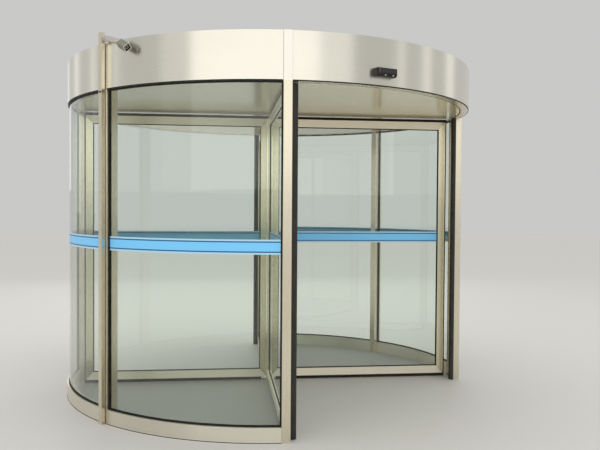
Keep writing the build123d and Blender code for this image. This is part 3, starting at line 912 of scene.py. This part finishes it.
# The black strip in the slot is painted shade: a dark piece where the slot is only in shade.
quarters = [curved_bar(SLOT_SECTION, (a, a + 90), 0.0) for a in (0, 90, 180, 270)]
slot_seal = new_piece("slot_seal", *join_parts(quarters), True)
slot_seal.data.materials.append(gasket_rubber)
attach(slot_seal, "drum")
print("floor joint top", JOINT_TOP * 1000, "mm; slot",
      round((SLOT_OUTER - SLOT_INNER) * 1000, 1), "mm wide")

# %% [markdown]
# ## Presence sensors
# A sensor over each opening starts the door when somebody comes near. On the real one a dark
# window lies in the front, two small lenses look down from the bevel, and a paler line marks
# where the end cap joins. These are thin pieces set on the measured housing.

# %% Windows, lenses and end cap seams of the sensors
SENSOR_ANGLE = 249.0
SENSOR_LOW, SENSOR_HIGH = 2.462, 2.517
SENSOR_DEPTH, SENSOR_CORNER, SENSOR_BEVEL = 0.045, 0.009, 0.018
SENSOR_FRONT = FASCIA_OUTER + SENSOR_DEPTH + SENSOR_CORNER
WINDOW_OUTLINE = rectangle(-0.060, 0.068, 2.4835, 2.5125)
WINDOW_DEPTH = 0.0006
LENS_PLACES, LENS_RADIUS, LENS_RISE = (-0.012, 0.052), 0.0060, 0.0024
SEAM_OUTLINE = rectangle(-0.0665, -0.0645, SENSOR_LOW + SENSOR_BEVEL, SENSOR_HIGH)
SEAM_DEPTH = 0.0004


def glossy_plastic(name, colour, second, dust_scale, rough, coat, coat_rough):
    material, tree, shader = new_material(name)
    dust = in_range(tree, noise_field(tree, object_place(tree), dust_scale), 0, 1)
    feed(tree, shader, Base_Color=mixed_colour(tree, dust, colour, second), Roughness=rough,
         IOR=1.5, Coat_Weight=coat, Coat_Roughness=coat_rough)
    return material


sensor_window = glossy_plastic("sensor_window", (0.006, 0.005, 0.007, 1),
                               (0.012, 0.009, 0.010, 1), 90, 0.06, 0.6, 0.03)
lens_plastic = glossy_plastic("sensor_lens", (0.42, 0.40, 0.38, 1), (0.55, 0.53, 0.50, 1),
                              300, 0.08, 1.0, 0.04)


def on_sensor(angle, out, across, height):
    a = radians(angle)
    return Vector((out * cos(a) - across * sin(a), out * sin(a) + across * cos(a), height))


def plate_on(corners, push):
    """A thin plate from its corners, raised along the vector push."""
    return slab(corners, [corner + push for corner in corners])


def lens_on(centre, normal, radius, rise, rings=4, sides=20):
    """A low dome for a lens, standing on a plane with that normal."""
    normal = normal.normalized()
    side = normal.orthogonal().normalized()
    third = normal.cross(side)
    verts = []
    for ring in range(rings):
        bend = (pi / 2) * ring / rings
        verts += [centre + (side * x + third * y) * radius * cos(bend)
                  + normal * rise * sin(bend) for x, y in circle(sides)]
    verts.append(centre + normal * rise)
    top = (rings - 1) * sides
    faces = side_faces(rings, sides)
    faces += [(top + i, top + (i + 1) % sides, len(verts) - 1) for i in range(sides)]
    faces.append(tuple(range(sides)))
    return verts, faces


for label, angle in (("front", SENSOR_ANGLE), ("rear", SENSOR_ANGLE - 180)):
    away = on_sensor(angle, 1, 0, 0)
    corners = [on_sensor(angle, SENSOR_FRONT, across, z) for across, z in WINDOW_OUTLINE]
    window = new_piece(f"sensor_window_{label}", *plate_on(corners, away * WINDOW_DEPTH))
    window.data.materials.append(sensor_window)
    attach(window, "drum")
    slope = (away + Vector((0, 0, -1))).normalized()
    lenses = [lens_on(on_sensor(angle, SENSOR_FRONT - SENSOR_BEVEL / 2, across,
                                SENSOR_LOW + SENSOR_BEVEL / 2), slope, LENS_RADIUS, LENS_RISE)
              for across in LENS_PLACES]
    eyes = new_piece(f"sensor_lenses_{label}", *join_parts(lenses), True, 60)
    eyes.data.materials.append(lens_plastic)
    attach(eyes, "drum")
    corners = [on_sensor(angle, SENSOR_FRONT, across, z) for across, z in SEAM_OUTLINE]
    seam = new_piece(f"sensor_seam_{label}", *plate_on(corners, away * SEAM_DEPTH))
    seam.data.materials.append(arm_paint)
    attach(seam, "drum")
print("sensor front at", SENSOR_FRONT, "m from the axis")

# %% [markdown]
# ## The eye of the small camera
# The camera's box is a measured solid with an open hood. What it lacks is what makes it a
# camera: a dark window at the bottom of the hood, a lens ring, the bulging lens, and a pale rim
# round the hood's mouth. They are built in the box's own frame, which is found again from the
# angles it was set by, and then moved to their place, so that every piece stays square to the
# hood.

# %% Window, ring, rim and lens in the hood
KNUCKLE = Vector((-1.771, -0.2143, 2.696))
PAN, TILT, ROLL = radians(-92), radians(26), radians(45)
CAMERA_BACK, CAMERA_LENGTH = 0.0113, 0.080
WINDOW_REACH = CAMERA_BACK + CAMERA_LENGTH
HALF_PANE, PANE_DEPTH = 0.0218, 0.0012
GLASS_TOP = 0.0014
RING_ROWS = [   # radius, distance ahead of the window
    (0.0092, GLASS_TOP), (0.0135, GLASS_TOP), (0.0135, 0.0044), (0.0127, 0.0050),
    (0.0092, 0.0050)]
CUT = 0.84
RIM_OUTLINE = [(1, CUT), (CUT, 1), (-CUT, 1), (-1, CUT), (-1, -CUT), (-CUT, -1), (CUT, -1),
               (1, -CUT)]
RIM_ROWS = [(0.0216, 0.0140), (0.0250, 0.0140), (0.0248, 0.0150), (0.0218, 0.0150)]

looks = Vector((cos(TILT) * cos(PAN), cos(TILT) * sin(PAN), -sin(TILT)))
level = Vector((-sin(PAN), cos(PAN), 0))
steep = looks.cross(level)
rolled = level * cos(ROLL) + steep * sin(ROLL)
risen = looks.cross(rolled)


def in_hood(right, up, ahead):
    return KNUCKLE + rolled * right + risen * up + looks * (WINDOW_REACH + ahead)


def ring_in_hood(outline, rows):
    """A closed ring: an outline repeated for each (size, distance ahead)."""
    verts = [in_hood(u * size, v * size, ahead) for size, ahead in rows for u, v in outline]
    return verts, side_faces(len(rows), len(outline), closed=True)


corners = [in_hood(u, v, AIR) for u, v in rectangle(-HALF_PANE, HALF_PANE, -HALF_PANE, HALF_PANE)]
hood_pane = new_piece("camera_window", *plate_on(corners, looks * PANE_DEPTH))
hood_pane.data.materials.append(sensor_window)
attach(hood_pane, "drum")
ring = new_piece("camera_lens_ring", *ring_in_hood(circle(32), RING_ROWS), True, 40)
ring.data.materials.append(arm_paint)
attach(ring, "drum")
rim = new_piece("camera_hood_rim", *ring_in_hood(RIM_OUTLINE, RIM_ROWS))
rim.data.materials.append(rim_paint)
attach(rim, "drum")
dome = lens_on(in_hood(0, 0, GLASS_TOP), looks, 0.0090, 0.0042, 5, 28)
lens = new_piece("camera_lens", *dome, True, 60)
lens.data.materials.append(sensor_window)
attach(lens, "drum")
print("camera looks along", [round(v, 2) for v in looks])

# %% [markdown]
# ## Screws
# Screws hold the roof cover, the floor bearing and the camera's foot, and a capped screw sits
# on the left mullion bar where the canopy starts. They repeat, so a Geometry Nodes tree sets one
# small screw on every point of a mesh: a low head, a rounded edge and a hexagonal socket. The
# points carry the direction in which the head looks and its size, and the rest is the same.

# %% A tree that sets a screw on every point
HEAD_ROWS = [(1.0, 0.0, 12), (1.0, 0.28, 12), (0.88, 0.45, 12), (0.48, 0.45, 6), (0.46, 0.15, 6)]


def head_mesh():
    """A screw head of radius 1 and height 0.45, with a hexagonal socket, as one closed shell."""
    verts = [(x, y, height) for radius, height, count in HEAD_ROWS
             for x, y in circle(count, radius)]
    rim, socket, floor = 24, 36, 42     # where the last three rows start
    faces = side_faces(3, 12)
    for i in range(6):
        j = (i + 1) % 6
        faces.append((rim + 2 * i, rim + 2 * i + 1, socket + j, socket + i))
        faces.append((rim + 2 * i + 1, rim + 2 * j, socket + j))
        faces.append((socket + i, socket + j, floor + j, floor + i))
    faces += [tuple(range(floor, floor + 6)), tuple(reversed(range(12)))]
    return verts, faces


def screw_tree():
    tree, ids, given = start_tree("set_screws", (
        ("Geometry", "Geometry", None), ("Screw", "Object", None), ("Turn", "Float", 1.0),
        ("Seed", "Int", 3), ("Material", "Material", None)))
    points = add_node(tree, "GeometryNodeMeshToPoints", Mesh=given["Geometry"])
    shape = add_node(tree, "GeometryNodeObjectInfo", Object=given["Screw"])
    angle = random_value(tree, "FLOAT", Seed=given["Seed"])
    spin = add_node(tree, "ShaderNodeCombineXYZ",
                    Z=worked_out(tree, "MULTIPLY", angle, given["Turn"]))
    set_on_points(tree, given, points.outputs["Points"], shape.outputs["Geometry"],
                  carried(tree, "reach", "FLOAT"), spin.outputs[0])
    return tree, ids


screw_head = new_piece("screw_head", *head_mesh())
screws, screw_ids = screw_tree()
print("screw tree has", len(screws.nodes), "nodes and inputs", list(screw_ids))

# %% Set the screws
ROOF_SCREWS, ROOF_SCREW_CIRCLE = 24, 1.700
BEARING_TOP, BEARING_SPREAD = 0.020, (-0.034, 0.034)
FOOT_X, FOOT_Y, FOOT_HEIGHTS = -1.771, -0.0233, (2.728, 2.756)
CAP_PLACE = (-1.784, 0.0, 2.38)
UP, FORWARD, LEFT = (0, 0, 1), (0, -1, 0), (-1, 0, 0)

# each screw as (place, the way its head looks, radius of its head)
roof = [((x, y, CANOPY_TOP), UP, 0.0060)
        for x, y in circle(ROOF_SCREWS, ROOF_SCREW_CIRCLE, 0.5)]
bearing = [((x, y, BEARING_TOP), UP, 0.0050) for x in BEARING_SPREAD for y in BEARING_SPREAD]
foot = [((FOOT_X, FOOT_Y, z), FORWARD, 0.0032) for z in FOOT_HEIGHTS]
cap = [(CAP_PLACE, LEFT, 0.0080)]
for name, places, slot in (("roof_screws", roof, "stainless"),
                           ("bearing_screws", bearing, "stainless"),
                           ("camera_foot_screws", foot, "stainless"),
                           ("bar_screw", cap, "black_rubber")):
    points, ways, radii = zip(*places)
    material = gasket_rubber if slot == "black_rubber" else steels["screw_steel"]
    piece = grown(name, carrier_mesh(name + "_points", points, [], ways, radii), screws, {
        screw_ids["Screw"]: screw_head, screw_ids["Turn"]: 1.0, screw_ids["Seed"]: 3,
        screw_ids["Material"]: material})
    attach(piece, "drum")
    print(name, len(places), "screws,", len(piece.data.polygons), "faces")
bpy.data.objects.remove(screw_head)

# %% [markdown]
# ## Finish
# The dressing only adds what sits inside the outline of the measured model. Last, the colours
# are shown with Blender's Standard view transform.

# %% Finish
bpy.context.scene.view_settings.view_transform = "Standard"
